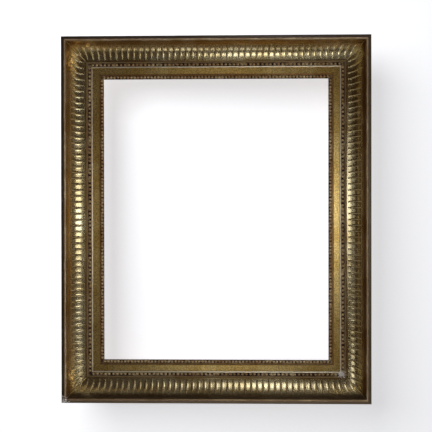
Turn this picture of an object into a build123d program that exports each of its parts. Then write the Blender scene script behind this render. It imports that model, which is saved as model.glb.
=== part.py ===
from build123d import *
from math import asin, cos, degrees, floor, hypot, radians, sin, sqrt
import os

# A gilded picture frame, hung upright. The back lies on the plane Y = 0, the front faces -Y,
# +Z is up and the origin is the middle of the back, on the wall. Sizes are in millimetres.
# All four rails share one cross-section, drawn with x inward from the outer edge of the rail
# and y forward from the back.

# Sight opening, the part of a picture that shows
sight_width = 406.0
sight_height = 508.0

# Widths across a rail, from its outer edge inward
shoulder_width = 6.5
rim_width = 5.0
cove_width = 24.5
apron_width = 3.0
fillet_width = 3.0
pearl_bed_width = 6.3
astragal_width = 2.9
frieze_width = 11.2
sight_quirk_width = 2.3
lip_width = 5.3

# Heights above the back
back_frame_thickness = 12.0
side_height = 43.0
shoulder_height = 51.5
rim_height = 57.0
cove_top_height = 52.0
cove_foot_height = 20.0
fillet_height = 20.8
pearl_bed_height = 17.0
astragal_height = 21.4
frieze_height = 19.5
lip_height = 15.0

# Crowned tops of the two narrow mouldings
fillet_crown = 1.0
astragal_crown = 1.3

# Hollow of the cove, and the flutes cut across it
cove_radius = 50.0
flute_pitch = 10.5
flute_depth = 0.9
flute_land = 1.0
flute_band_width = 3.5
flute_strip_thickness = 2.6

# Pearls of the outer course and of the sight edge
outer_pearl_diameter = 4.8
outer_pearl_pitch = 7.28
sight_pearl_diameter = 4.9
sight_pearl_pitch = 6.1
pearl_strip_thickness = 1.2
pearl_end_gap = 0.4

# Rebate behind the sight edge, and the flat keys that lock the mitres of the back frame
rebate_width = 6.0
rebate_depth = 12.5
key_leg = 34.0
key_thickness = 3.0

# Ring hangers
hanger_drop = 160.0
strap_width = 13.0
strap_length = 21.0
strap_gauge = 0.9
strap_corner_radius = 3.0
ring_wire_diameter = 2.4
ring_inner_width = 17.0
ring_inner_reach = 12.0
ring_bend_radius = 2.4
ring_running_gap = 0.06
ring_rebate_gap = 3.0

# Turn buttons; the upper ones on the stiles stand a set way below the hangers
button_hanger_gap = 54.0
button_width = 9.0
button_tip_width = 6.5
button_reach = 22.0
button_thickness = 1.2
button_gap = 0.3
button_pivot_inset = 8.0
button_running_gap = 0.08

# Slotted round-head screws, one pattern for hangers and buttons
screw_shank_diameter = 3.2
screw_head_diameter = 6.6
screw_head_height = 2.2
screw_length = 10.5
screw_point_length = 2.5
screw_slot_width = 0.9
screw_slot_depth = 0.9

# How far every cutting solid runs past what it cuts
overrun = 1.0

# Places across a rail
rim_outer = shoulder_width
rim_inner = rim_outer + rim_width
cove_foot = rim_inner + cove_width
fillet_outer = cove_foot + apron_width
fillet_inner = fillet_outer + fillet_width
astragal_outer = fillet_inner + pearl_bed_width
frieze_outer = astragal_outer + astragal_width
frieze_inner = frieze_outer + frieze_width
lip_outer = frieze_inner + sight_quirk_width
rail_width = lip_outer + lip_width
rebate_wall = rail_width - rebate_width

# Overall size, and each side's half length, distance from the middle and inward direction
outer_width = sight_width + 2 * rail_width
outer_height = sight_height + 2 * rail_width
sides = {
    "bottom": (outer_width / 2, outer_height / 2, Vector(0, 0, 1)),
    "right": (outer_height / 2, outer_width / 2, Vector(-1, 0, 0)),
    "top": (outer_width / 2, outer_height / 2, Vector(0, 0, -1)),
    "left": (outer_height / 2, outer_width / 2, Vector(1, 0, 0)),
}
front = Vector(0, -1, 0)

os.makedirs("parts", exist_ok=True)


def save(piece, name):
    piece.label = name
    export_step(piece, f"parts/{name}.step")


def section_plane(side, station=0):
    # Plane of a rail's cross-section, at a distance along the rail from its middle
    half, reach, inward = sides[side]
    along = inward.cross(front)
    return Plane(origin=along * station - inward * reach, x_dir=inward, z_dir=along)


def face_plane(side, station=0, inset=0, height=0):
    # Plane parallel to the back, with x along a rail and y inward
    section = section_plane(side, station)
    return Plane(
        origin=section.from_local_coords(Vector(inset, height, 0)),
        x_dir=section.z_dir,
        z_dir=front,
    )


def mitred_outline(side):
    # Face of one rail between its mitres
    half = sides[side][0]
    with BuildSketch(face_plane(side)) as outline:
        with BuildLine():
            Polyline(
                (-half, 0),
                (half, 0),
                (half - rail_width, rail_width),
                (rail_width - half, rail_width),
                close=True,
            )
        make_face()
    return outline.sketch


def rail(side, section):
    # One length of moulding, cut to both mitres
    with BuildPart() as length:
        with BuildSketch(section_plane(side)):
            add(section)
        extrude(amount=sides[side][0], both=True)
        extrude(mitred_outline(side), amount=rim_height, mode=Mode.INTERSECT)
    return length.part


def stations(pitch, limit):
    # Even places along a rail, mirrored about its middle and within a limit each way
    count = floor(2 * limit / pitch) + 1
    return [(index - (count - 1) / 2) * pitch for index in range(count)]


# Back frame: four flat rails, mitred and locked by keys, that carry all the mouldings
corners = {
    "top_left": (-1, 1),
    "top_right": (1, 1),
    "bottom_left": (-1, -1),
    "bottom_right": (1, -1),
}
key_height = (back_frame_thickness - key_thickness) / 2
key_plane = Plane.XZ.offset(key_height)

# Hangers: place along the side, counted the way that the side runs
hanger_height = outer_height / 2 - hanger_drop
hangers = {"left": -hanger_height, "right": hanger_height}
ring_reach = ring_inner_reach + ring_wire_diameter
ring_bar = rebate_wall - ring_rebate_gap - ring_reach
strap_screw = ring_bar - strap_length / 2

# Turn buttons: side of the frame, place along it and which way the parked button points
button_pivot = rebate_wall - button_pivot_inset
button_height = hanger_height - button_hanger_gap
buttons = {
    "left_upper": ("left", -button_height, 1),
    "left_lower": ("left", button_height, 1),
    "right_upper": ("right", button_height, -1),
    "right_lower": ("right", -button_height, -1),
    "top": ("top", 0, 1),
    "bottom": ("bottom", 0, -1),
}


with BuildSketch() as back_section:
    with BuildLine():
        Polyline(
            (0, 0),
            (rebate_wall, 0),
            (rebate_wall, back_frame_thickness),
            (0, back_frame_thickness),
            close=True,
        )
    make_face()


def corner_key(across, up):
    # Flat three-cornered key, flush with both outer edges at a corner
    corner_x = across * outer_width / 2
    corner_z = up * outer_height / 2
    with BuildPart() as key:
        with BuildSketch(key_plane):
            with BuildLine():
                Polyline(
                    (corner_x, corner_z),
                    (corner_x - across * key_leg, corner_z),
                    (corner_x, corner_z - up * key_leg),
                    close=True,
                )
            make_face()
        extrude(amount=key_thickness)
    return key.part


def screw_seats(side):
    # Each screw's place along the side and in from its outer edge
    seats = [(station, button_pivot) for at, station, way in buttons.values() if at == side]
    if side in hangers:
        seats.append((hangers[side], strap_screw))
    return seats


keys = {corner: corner_key(across, up) for corner, (across, up) in corners.items()}
for corner, key in keys.items():
    save(key, f"corner_key_{corner}")

for side in sides:
    plain_rail = rail(side, back_section.sketch)
    with BuildPart() as back_frame:
        add(plain_rail)
        add(keys.values(), mode=Mode.SUBTRACT)
        with BuildSketch(face_plane(side)):
            with Locations(*screw_seats(side)):
                Circle(screw_shank_diameter / 2)
        extrude(amount=screw_length, mode=Mode.SUBTRACT)
    save(back_frame.part, f"back_frame_{side}")

# Outer moulding: the straight side, a rounded shoulder and the raised rim
spring_height = rim_height - rim_width / 2
with BuildSketch() as outer_section:
    with BuildLine():
        Polyline(
            (0, side_height),
            (0, back_frame_thickness),
            (rim_inner, back_frame_thickness),
            (rim_inner, spring_height),
        )
        ThreePointArc(
            (rim_inner, spring_height),
            ((rim_inner + rim_outer) / 2, rim_height),
            (rim_outer, spring_height),
        )
        Line((rim_outer, spring_height), (rim_outer, shoulder_height))
        EllipticalCenterArc(
            (rim_outer, side_height),
            shoulder_width,
            shoulder_height - side_height,
            start_angle=90,
            arc_size=90,
        )
    make_face()


for side in sides:
    save(rail(side, outer_section.sketch), f"outer_moulding_{side}")

# Cove: a deep hollow from the rim down to a crowned fillet, with a seat for the flutes
cove_drop = cove_top_height - cove_foot_height
half_chord = hypot(cove_width, cove_drop) / 2
centre_ratio = sqrt(cove_radius**2 - half_chord**2) / (2 * half_chord)
cove_x = (rim_inner + cove_foot) / 2 + cove_drop * centre_ratio
cove_y = (cove_top_height + cove_foot_height) / 2 + cove_width * centre_ratio
strip_radius = cove_radius + flute_strip_thickness
band_end = rim_inner + flute_band_width


def cove_slope(across):
    # Slope of the hollow in degrees, at a place across the rail
    return degrees(asin((cove_x - across) / cove_radius))


def cove_point(radius, slope):
    # Point of the cross-section at a radius from the middle of the hollow
    return (cove_x - radius * sin(radians(slope)), cove_y - radius * cos(radians(slope)))


rim_slope = cove_slope(rim_inner)
band_slope = cove_slope(band_end)
foot_slope = cove_slope(cove_foot)
apron_slope = cove_slope(fillet_outer)
crown_height = fillet_height - fillet_crown
with BuildSketch() as cove_section:
    with BuildLine():
        Polyline(
            (rim_inner, cove_top_height),
            (rim_inner, back_frame_thickness),
            (fillet_inner, back_frame_thickness),
            (fillet_inner, crown_height),
        )
        ThreePointArc(
            (fillet_inner, crown_height),
            ((fillet_inner + fillet_outer) / 2, fillet_height),
            (fillet_outer, crown_height),
        )
        Line((fillet_outer, crown_height), cove_point(cove_radius, apron_slope))
        CenterArc((cove_x, cove_y), cove_radius, 270 - apron_slope, apron_slope - rim_slope)
    make_face()
    with BuildLine():
        CenterArc((cove_x, cove_y), strip_radius, 270 - foot_slope, foot_slope - band_slope)
        Polyline(
            cove_point(strip_radius, band_slope),
            cove_point(cove_radius - overrun, band_slope),
            cove_point(cove_radius - overrun, foot_slope),
            cove_point(strip_radius, foot_slope),
        )
    make_face(mode=Mode.SUBTRACT)

for side in sides:
    save(rail(side, cove_section.sketch), f"cove_{side}")

# Flute strip: a thin bed that follows the hollow, with round channels side by side across it
flute_width = flute_pitch - flute_land
flute_radius = (flute_width**2 / 4 + flute_depth**2) / (2 * flute_depth)
flute_axis_radius = cove_radius + flute_depth - flute_radius
cove_axis = Axis((cove_x, cove_y, 0), (0, 0, 1))
scallop_plane = Plane(
    origin=cove_axis.position,
    x_dir=cove_axis.direction,
    z_dir=(cos(radians(band_slope)), -sin(radians(band_slope)), 0),
)
for side in sides:
    half = sides[side][0]
    channels = stations(flute_pitch, half - band_end - flute_width)
    with BuildPart() as long_strip:
        with BuildSketch(scallop_plane):
            with Locations((0, cove_radius)):
                Rectangle(2 * half, flute_strip_thickness, align=(Align.CENTER, Align.MIN))
            with Locations(*[(at, flute_axis_radius) for at in channels]):
                Circle(flute_radius, mode=Mode.SUBTRACT)
        revolve(axis=cove_axis, revolution_arc=band_slope - foot_slope)
    with BuildPart() as flute_strip:
        with Locations(section_plane(side)):
            add(long_strip.part)
        extrude(mitred_outline(side), amount=rim_height, mode=Mode.INTERSECT)
    save(flute_strip.part, f"flute_strip_{side}")

# Sight moulding: pearl bed, crowned astragal, flat frieze and the lip that covers the rebate
astragal_spring = astragal_height - astragal_crown
with BuildSketch() as sight_section:
    with BuildLine():
        Polyline(
            (astragal_outer, astragal_spring),
            (astragal_outer, pearl_bed_height),
            (fillet_inner, pearl_bed_height),
            (fillet_inner, back_frame_thickness),
            (rebate_wall, back_frame_thickness),
            (rebate_wall, rebate_depth),
            (rail_width, rebate_depth),
            (rail_width, lip_height),
            (frieze_inner, lip_height),
            (frieze_inner, frieze_height),
            (frieze_outer, frieze_height),
            (frieze_outer, astragal_spring),
        )
        ThreePointArc(
            (frieze_outer, astragal_spring),
            ((astragal_outer + frieze_outer) / 2, astragal_height),
            (astragal_outer, astragal_spring),
        )
    make_face()

for side in sides:
    save(rail(side, sight_section.sketch), f"sight_moulding_{side}")


def pearl_strip(side, outer, inner, seat_height, diameter, pitch):
    # Course of half-sunk pearls on a flat strip, with whole pearls only up to each mitre
    middle = (outer + inner) / 2
    crown = seat_height + pearl_strip_thickness
    limit = sides[side][0] - middle - (diameter / 2 + pearl_end_gap) * sqrt(2)
    with BuildSketch() as strip_section:
        with BuildLine():
            Polyline(
                (outer, seat_height),
                (inner, seat_height),
                (inner, crown),
                (outer, crown),
                close=True,
            )
        make_face()
    strip = rail(side, strip_section.sketch)
    with BuildPart() as pearls:
        add(strip)
        with Locations(*[face_plane(side, at, middle, crown) for at in stations(pitch, limit)]):
            Sphere(diameter / 2)
        split(bisect_by=face_plane(side, height=seat_height), keep=Keep.TOP)
    return pearls.part


for side in sides:
    outer_pearls = pearl_strip(
        side,
        fillet_inner,
        astragal_outer,
        pearl_bed_height,
        outer_pearl_diameter,
        outer_pearl_pitch,
    )
    save(outer_pearls, f"outer_pearls_{side}")
    sight_pearls = pearl_strip(
        side,
        lip_outer,
        rail_width,
        lip_height,
        sight_pearl_diameter,
        sight_pearl_pitch,
    )
    save(sight_pearls, f"sight_pearls_{side}")

# Ring hangers: a strap folded round the straight bar of a D ring, on each stile
loop_radius = ring_wire_diameter / 2 + ring_running_gap + strap_gauge
hanger_plane = Plane((-outer_width / 2, 0, hanger_height))
strap_end = ring_bar - strap_length
with BuildPart() as strap:
    with BuildSketch(hanger_plane):
        with Locations((ring_bar, loop_radius)):
            Circle(loop_radius)
        with Locations((strap_end, 0)):
            Rectangle(strap_length, 2 * strap_gauge, align=(Align.MIN, Align.MIN))
        with Locations((ring_bar, loop_radius)):
            Circle(loop_radius - strap_gauge, mode=Mode.SUBTRACT)
    extrude(amount=strap_width / 2, both=True)
    fillet(strap.edges().filter_by(Axis.Y).group_by(Axis.X)[0], strap_corner_radius)
    with BuildSketch(face_plane("left", hangers["left"], strap_screw)):
        Circle(screw_shank_diameter / 2)
    extrude(amount=-2 * strap_gauge, mode=Mode.SUBTRACT)
save(strap.part, "hanger_strap_left")
save(mirror(strap.part, Plane.YZ), "hanger_strap_right")

# D ring: a bar through the strap, two tight bends, two short legs and a half circle
ring_plane = Plane(
    origin=(ring_bar - outer_width / 2, loop_radius, hanger_height),
    x_dir=(1, 0, 0),
    z_dir=front,
)
ring_half = (ring_inner_width + ring_wire_diameter) / 2
leg_end = ring_reach - ring_half
bar_half = ring_half - ring_bend_radius
with BuildPart() as ring:
    with BuildLine(ring_plane) as ring_path:
        Line((0, -bar_half), (0, bar_half))
        CenterArc((ring_bend_radius, bar_half), ring_bend_radius, 180, -90)
        Line((ring_bend_radius, ring_half), (leg_end, ring_half))
        CenterArc((leg_end, 0), ring_half, 90, -180)
        Line((leg_end, -ring_half), (ring_bend_radius, -ring_half))
        CenterArc((ring_bend_radius, -bar_half), ring_bend_radius, 270, -90)
    with BuildSketch(Plane(origin=ring_plane.origin, z_dir=(0, 0, 1))):
        Circle(ring_wire_diameter / 2)
    sweep(path=ring_path.line)
save(ring.part, "hanger_ring_left")
save(mirror(ring.part, Plane.YZ), "hanger_ring_right")

# One slotted screw, its head seated at the origin and its shank along +Z
screw_dome_radius = (screw_head_diameter**2 / 4 + screw_head_height**2) / (2 * screw_head_height)
with BuildPart() as screw:
    with BuildSketch(Plane.XZ):
        with BuildLine():
            Polyline(
                (0, -screw_head_height),
                (0, screw_length),
                (screw_shank_diameter / 2, screw_length - screw_point_length),
                (screw_shank_diameter / 2, 0),
                (screw_head_diameter / 2, 0),
            )
            RadiusArc(
                (screw_head_diameter / 2, 0),
                (0, -screw_head_height),
                screw_dome_radius,
            )
        make_face()
    revolve(axis=Axis.Z)
    with BuildSketch(Plane.XY.offset(-screw_head_height)):
        Rectangle(screw_head_diameter, screw_slot_width)
    extrude(amount=screw_slot_depth, mode=Mode.SUBTRACT)

with BuildPart() as hanger_screws:
    seats = [face_plane(side, at, strap_screw, -2 * strap_gauge) for side, at in hangers.items()]
    with Locations(*seats):
        add(screw.part)
save(hanger_screws.part, "hanger_screws")

# Turn buttons, parked along the rails, each held under its screw with room to turn
button_back = button_gap + button_thickness + button_gap
with BuildPart() as button_screws:
    seats = [face_plane(side, at, button_pivot, -button_back) for side, at, way in buttons.values()]
    with Locations(*seats):
        add(screw.part)
save(button_screws.part, "turn_button_screws")

for name, (side, station, way) in buttons.items():
    with BuildPart() as button:
        with BuildSketch(face_plane(side, station, button_pivot, -button_gap)):
            Circle(button_width / 2)
            with Locations((way * button_reach, 0)):
                Circle(button_tip_width / 2)
            make_hull()
            Circle(screw_shank_diameter / 2 + button_running_gap, mode=Mode.SUBTRACT)
        extrude(amount=-button_thickness)
    save(button.part, f"turn_button_{name}")
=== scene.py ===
import random
from math import asin, copysign, cos, degrees, hypot, pi, radians, sin, sqrt
import bmesh
import bpy
from mathutils import Matrix, Vector, noise


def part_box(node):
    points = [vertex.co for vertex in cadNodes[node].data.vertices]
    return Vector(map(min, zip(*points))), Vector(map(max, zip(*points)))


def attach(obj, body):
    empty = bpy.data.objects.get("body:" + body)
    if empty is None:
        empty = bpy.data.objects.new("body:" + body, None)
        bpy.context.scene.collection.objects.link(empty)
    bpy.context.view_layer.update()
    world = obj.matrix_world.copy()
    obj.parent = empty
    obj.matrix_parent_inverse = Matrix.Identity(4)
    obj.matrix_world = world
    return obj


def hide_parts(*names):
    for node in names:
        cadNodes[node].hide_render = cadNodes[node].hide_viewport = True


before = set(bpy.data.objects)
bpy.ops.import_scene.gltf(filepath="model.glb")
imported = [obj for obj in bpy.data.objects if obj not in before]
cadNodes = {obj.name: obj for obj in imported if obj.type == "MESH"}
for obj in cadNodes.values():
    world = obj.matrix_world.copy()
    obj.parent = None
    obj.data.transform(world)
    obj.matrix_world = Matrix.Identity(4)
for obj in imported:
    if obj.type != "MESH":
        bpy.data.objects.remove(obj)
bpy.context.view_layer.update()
mm = 0.001
random.seed(11)

# The frame hangs upright in the XZ plane, its back on Y = 0 and its front towards -Y.
# Each rail is drawn lying along X, with Y inward from its outer edge and Z its height
# above the back, then turned to its side of the frame. Section sizes are in millimetres.
topLow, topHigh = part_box("outer_moulding_top")
leftLow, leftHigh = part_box("outer_moulding_left")
outerWidth, outerHeight = topHigh.x - topLow.x, leftHigh.z - leftLow.z
front = Vector((0, -1, 0))
inwardOf = {
    "bottom": Vector((0, 0, 1)),
    "right": Vector((-1, 0, 0)),
    "top": Vector((0, 0, -1)),
    "left": Vector((1, 0, 0)),
}
level = ("top", "bottom")  # the rails that lie level, the others stand


def halfLength(side):
    return (outerWidth if side in level else outerHeight) / 2


def railPlace(side):
    reach = (outerHeight if side in level else outerWidth) / 2
    inward = inwardOf[side]
    place = Matrix((inward.cross(front), inward, front)).transposed().to_4x4()
    place.translation = -inward * reach
    return place


# Shapes shared by the mouldings

railLook = {
    "slices": 72,  # pieces along a rail, so that it can waver
    "mitreGap": 0.04,
    "wander": 0.22,  # how far a hand-finished surface strays
    "wanderScale": 9.0,
    "wanderRise": 20.0,  # height over which the straying sets in
    "wanderShift": Vector((31, 7, 3)),
    "backFrame": 12.0,  # nothing below this height strays
    "merge": 0.002,
    "sharpAngle": 38,
}


def arcPoints(across, height, radiusAcross, radiusHeight, start, stop, steps, crests):
    # Points on an arc of a section, with a crest that goes from one value to another
    points = []
    for step in range(steps + 1):
        share = step / steps
        angle = radians(start + (stop - start) * share)
        crest = crests[0] + (crests[1] - crests[0]) * share
        points.append((across + radiusAcross * cos(angle), height + radiusHeight * sin(angle), crest))
    return points


def everythingIn(bm):
    return bm.verts[:] + bm.edges[:] + bm.faces[:]


def closeCut(bm):
    bmesh.ops.holes_fill(bm, edges=[edge for edge in bm.edges if edge.is_boundary], sides=0)


def drawRail(side, section):
    # Section points are across, height and crest: 1 on an arris, 0 in a hollow
    bm = bmesh.new()
    crestLayer = bm.verts.layers.float.new("crest")
    half = halfLength(side)
    for across, height, crest in section:
        corner = bm.verts.new((-half, across * mm, height * mm))
        corner[crestLayer] = crest
    bm.faces.new(bm.verts)
    step = 2 * half / railLook["slices"]
    bmesh.ops.spin(
        bm, geom=everythingIn(bm), cent=(0, 0, 0), axis=(1, 0, 0),
        dvec=(step, 0, 0), angle=0, steps=railLook["slices"], use_duplicate=False,
    )
    return bm


def cutAway(bm, place, outward):
    # Cuts off what lies past a plane and closes the cut
    bmesh.ops.bisect_plane(bm, geom=everythingIn(bm), plane_co=place, plane_no=outward, clear_outer=True)
    closeCut(bm)


def cutMitres(bm, side):
    half = halfLength(side) - railLook["mitreGap"] * mm
    for way in (-1, 1):
        cutAway(bm, (way * half, 0, 0), (way, 1, 0))


def wander(bm, side):
    # Lets a surface stray a little from true, inward and down only, more towards the front
    place = railPlace(side)
    for vert in bm.verts:
        spot = place @ vert.co * railLook["wanderScale"]
        share = min(max((vert.co.z / mm - railLook["backFrame"]) / railLook["wanderRise"], 0), 1)
        stray = railLook["wander"] * mm * share
        vert.co.y += stray * (0.5 + 0.5 * noise.noise(spot))
        vert.co.z -= stray * (0.5 + 0.5 * noise.noise(spot + railLook["wanderShift"]))


gildedPieces = []  # all that finishPiece makes


def finishPiece(bm, name, material, replaced, place, sharpAngle=railLook["sharpAngle"]):
    # Turns a shape into a piece in its place, which rides on the frame and may stand for CAD nodes
    bmesh.ops.remove_doubles(bm, verts=bm.verts, dist=railLook["merge"] * mm)
    bmesh.ops.recalc_face_normals(bm, faces=bm.faces)
    bmesh.ops.transform(bm, matrix=place, verts=bm.verts)
    mesh = bpy.data.meshes.new(name)
    bm.to_mesh(mesh)
    bm.free()
    mesh.shade_smooth()
    mesh.set_sharp_from_angle(angle=radians(sharpAngle))
    mesh.materials.append(material)
    piece = bpy.data.objects.new(name, mesh)
    bpy.context.scene.collection.objects.link(piece)
    gildedPieces.append(piece)
    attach(piece, "frame")
    if replaced:
        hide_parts(*replaced)


# Shader helpers


def addNode(tree, kind, values=None, **settings):
    # Adds a node; values may be plain ones or the sockets that feed an input
    node = tree.nodes.new(kind)
    for key, value in settings.items():
        setattr(node, key, value)
    for key, value in (values or {}).items():
        if isinstance(value, bpy.types.NodeSocket):
            tree.links.new(value, node.inputs[key])
        else:
            node.inputs[key].default_value = value
    return node


def maths(tree, operation, first, second=0.0, third=0.0, clamp=False):
    values = {0: first, 1: second, 2: third}
    return addNode(tree, "ShaderNodeMath", values, operation=operation, use_clamp=clamp).outputs[0]


def lessened(tree, value, mask, clamp=False):
    # A value that fades where the mask is strong
    return maths(tree, "MULTIPLY", value, maths(tree, "SUBTRACT", 1.0, mask), clamp=clamp)


def swing(tree, noiseValue, amount):
    # Noise about zero
    return maths(tree, "MULTIPLY", maths(tree, "SUBTRACT", noiseValue, 0.5), amount)


def mixColour(tree, factor, first, second):
    values = {0: factor, 6: first, 7: second}
    return addNode(tree, "ShaderNodeMix", values, data_type="RGBA", clamp_factor=True).outputs[2]


def rise(tree, value, low, high, start=0.0, stop=1.0):
    # Smooth step of a value from start to stop, between low and high
    node = addNode(
        tree, "ShaderNodeMapRange", {0: value, 1: low, 2: high, 3: start, 4: stop},
        interpolation_type="SMOOTHSTEP",
    )
    return node.outputs[0]


def grainAt(tree, point, scale, detail=2.0, roughness=0.5):
    values = {"Vector": point, "Scale": scale, "Detail": detail, "Roughness": roughness}
    return addNode(tree, "ShaderNodeTexNoise", values).outputs[0]


def newGroup(name, inputs, outputs):
    # A shader node group with named sockets; inputs have a kind and a first value
    group = bpy.data.node_groups.new(name, "ShaderNodeTree")
    for label, (kind, value) in inputs.items():
        socket = group.interface.new_socket(label, in_out="INPUT", socket_type=kind)
        if value is not None:
            socket.default_value = value
    for label, kind in outputs.items():
        group.interface.new_socket(label, in_out="OUTPUT", socket_type=kind)
    start = group.nodes.new("NodeGroupInput").outputs
    end = group.nodes.new("NodeGroupOutput").inputs
    return group, start, end


def useGroup(tree, group, values, look=None, keys=()):
    # Places a group; the keys of a look go to the inputs of the same name
    values = {**values, **{key.capitalize(): look[key] for key in keys}}
    return addNode(tree, "ShaderNodeGroup", values, node_tree=group).outputs


number, colour, vector = "NodeSocketFloat", "NodeSocketColor", "NodeSocketVector"


def rgb(red, green, blue):
    # A colour as a paint chip gives it, 0 to 255, made linear for the shader
    return tuple((part / 255) ** 2.2 for part in (red, green, blue)) + (1.0,)


# Where a point lies on its rail: how far in from the outer edge, and how far off the mitre line


def makeRailGroup():
    tree, given, out = newGroup(
        "placeOnRail", {"Point": (vector, None)}, {"Across": number, "Off Mitre": number}
    )
    split = addNode(tree, "ShaderNodeSeparateXYZ", {0: given["Point"]}).outputs
    fromSide = maths(tree, "SUBTRACT", outerWidth / 2, maths(tree, "ABSOLUTE", split[0]))
    fromEnd = maths(tree, "SUBTRACT", outerHeight / 2, maths(tree, "ABSOLUTE", split[2]))
    tree.links.new(maths(tree, "MINIMUM", fromSide, fromEnd), out["Across"])
    offMitre = maths(tree, "ABSOLUTE", maths(tree, "SUBTRACT", fromSide, fromEnd))
    tree.links.new(offMitre, out["Off Mitre"])
    return tree


railGroup = makeRailGroup()

# Leaf laid on clay and gesso: toned, rubbed through on the arrises, grimed in the hollows,
# and dark along the mitres

leafWear = {
    "broad": 22.0,  # scales of noise, finer as they grow
    "streak": 60.0,
    "fine": 190.0,
    "pores": 420.0,
    "grit": 1100.0,
    "patchy": 1.4,  # how unevenly the arrises are rubbed
    "blotchy": 0.9,  # how unevenly the hollows are soiled
    "poreShade": 0.55,
    "jointCore": 0.7,  # off the mitre line, dark inside this
    "jointEdge": 1.5,  # and clean outside this
    "wornRough": 0.35,  # roughness that wear and grime add
    "unevenRough": 0.1,
}


def makeGiltGroup():
    tree, given, out = newGroup(
        "laidLeaf",
        {
            "Point": (vector, None),
            "Crest": (number, 0.5),
            "Leaf": (colour, rgb(230, 190, 120)),
            "Toned": (colour, rgb(170, 120, 60)),
            "Clay": (colour, rgb(120, 60, 40)),
            "Gesso": (colour, rgb(205, 190, 170)),
            "Grime": (colour, rgb(40, 28, 16)),
            "Rub": (number, 0.5),
            "Soil": (number, 0.5),
            "Polish": (number, 0.3),
            "Stipple": (number, 0.0),
            "Joint": (number, 0.75),
        },
        {"Color": colour, "Roughness": number, "Metallic": number, "Height": number},
    )
    wear, point = leafWear, given["Point"]
    broad = grainAt(tree, point, wear["broad"], 3.0)
    fine = grainAt(tree, point, wear["fine"], 4.0, 0.6)
    grit = grainAt(tree, point, wear["grit"], 2.0)
    streak = grainAt(tree, point, wear["streak"], 4.0, 0.7)

    toned = maths(tree, "ADD", rise(tree, broad, 0.38, 0.62), maths(tree, "MULTIPLY", fine, 0.5))
    leaf = mixColour(tree, rise(tree, toned, 0.35, 1.25), given["Leaf"], given["Toned"])

    # Rubbed where the crest is high, in patches
    high = maths(tree, "ADD", given["Crest"], swing(tree, streak, wear["patchy"]))
    rubbed = maths(tree, "SUBTRACT", high, maths(tree, "MULTIPLY_ADD", given["Rub"], -0.75, 1.25))
    rub = rise(tree, rubbed, 0.0, 0.22)
    bare = rise(tree, rubbed, 0.25, 0.5)
    worn = mixColour(tree, bare, given["Clay"], given["Gesso"])
    base = mixColour(tree, rub, leaf, worn)

    # Soiled where the crest is low
    deep = maths(tree, "SUBTRACT", 1.0, given["Crest"])
    deep = maths(tree, "ADD", deep, swing(tree, fine, wear["blotchy"]))
    soiled = maths(tree, "SUBTRACT", deep, maths(tree, "MULTIPLY_ADD", given["Soil"], -0.8, 1.2))
    soil = rise(tree, soiled, 0.0, 0.35)
    speck = maths(tree, "MULTIPLY", rise(tree, grit, 0.6, 0.72), given["Soil"])
    soil = maths(tree, "MAXIMUM", soil, maths(tree, "MULTIPLY", speck, 0.55), clamp=True)

    offMitre = useGroup(tree, railGroup, {"Point": point})["Off Mitre"]
    offMitre = maths(tree, "ADD", offMitre, maths(tree, "MULTIPLY", streak, 1.2 * mm))
    joint = rise(tree, offMitre, wear["jointCore"] * mm, wear["jointEdge"] * mm, 1.0, 0.0)
    joint = maths(tree, "MULTIPLY", joint, given["Joint"])
    soil = maths(tree, "MAXIMUM", soil, joint, clamp=True)

    # Pricked all over where it is stippled
    pores = rise(tree, grainAt(tree, point, wear["pores"], 3.0, 0.7), 0.4, 0.62)
    pores = maths(tree, "MULTIPLY", pores, given["Stipple"])
    base = mixColour(tree, maths(tree, "MULTIPLY", pores, wear["poreShade"]), base, given["Grime"])

    tree.links.new(mixColour(tree, soil, base, given["Grime"]), out["Color"])
    metal = lessened(tree, maths(tree, "SUBTRACT", 1.0, soil), rub, clamp=True)
    tree.links.new(metal, out["Metallic"])
    worn = maths(tree, "MAXIMUM", soil, rub)
    rough = maths(tree, "MULTIPLY_ADD", worn, wear["wornRough"], given["Polish"])
    rough = maths(tree, "ADD", rough, swing(tree, fine, wear["unevenRough"]), clamp=True)
    tree.links.new(rough, out["Roughness"])
    height = maths(tree, "MULTIPLY", fine, 0.35)
    height = maths(tree, "SUBTRACT", height, maths(tree, "MULTIPLY", rub, 0.25))
    tree.links.new(maths(tree, "SUBTRACT", height, pores), out["Height"])
    return tree


# Places where the gesso is knocked off, white with a ragged edge

chipLook = {
    "tone": rgb(255, 250, 244),
    "rough": 0.85,
    "depth": 0.8,
    "grain": 330.0,
    "ragged": 4.5,
}
chips = {
    "innerCorner": {"place": (0.2245, -0.019, -0.2775), "size": 0.0065},
    "outerCorner": {"place": (-0.267, -0.052, -0.3185), "size": 0.008},
}


def makeChipGroup():
    tree, given, out = newGroup(
        "knockedGesso",
        {"Point": (vector, None), "Place": (vector, None), "Size": (number, 0.01)},
        {"Mask": number},
    )
    ends = {0: given["Point"], 1: given["Place"]}
    away = addNode(tree, "ShaderNodeVectorMath", ends, operation="DISTANCE").outputs["Value"]
    ragged = swing(tree, grainAt(tree, given["Point"], chipLook["grain"], 3.0, 0.6), chipLook["ragged"])
    spread = maths(tree, "ADD", maths(tree, "DIVIDE", away, given["Size"]), ragged)
    tree.links.new(rise(tree, spread, 0.75, 0.95, 1.0, 0.0), out["Mask"])
    return tree


# Pale dust on what leans up, and painted shade, dark brown, on what lies nearly level

# The dark colour and its share are painted shade
dustAndShadeLook = {"tone": rgb(150, 138, 118), "dirt_and_shade": rgb(38, 23, 8), "shadeShare": 0.8}


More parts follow.
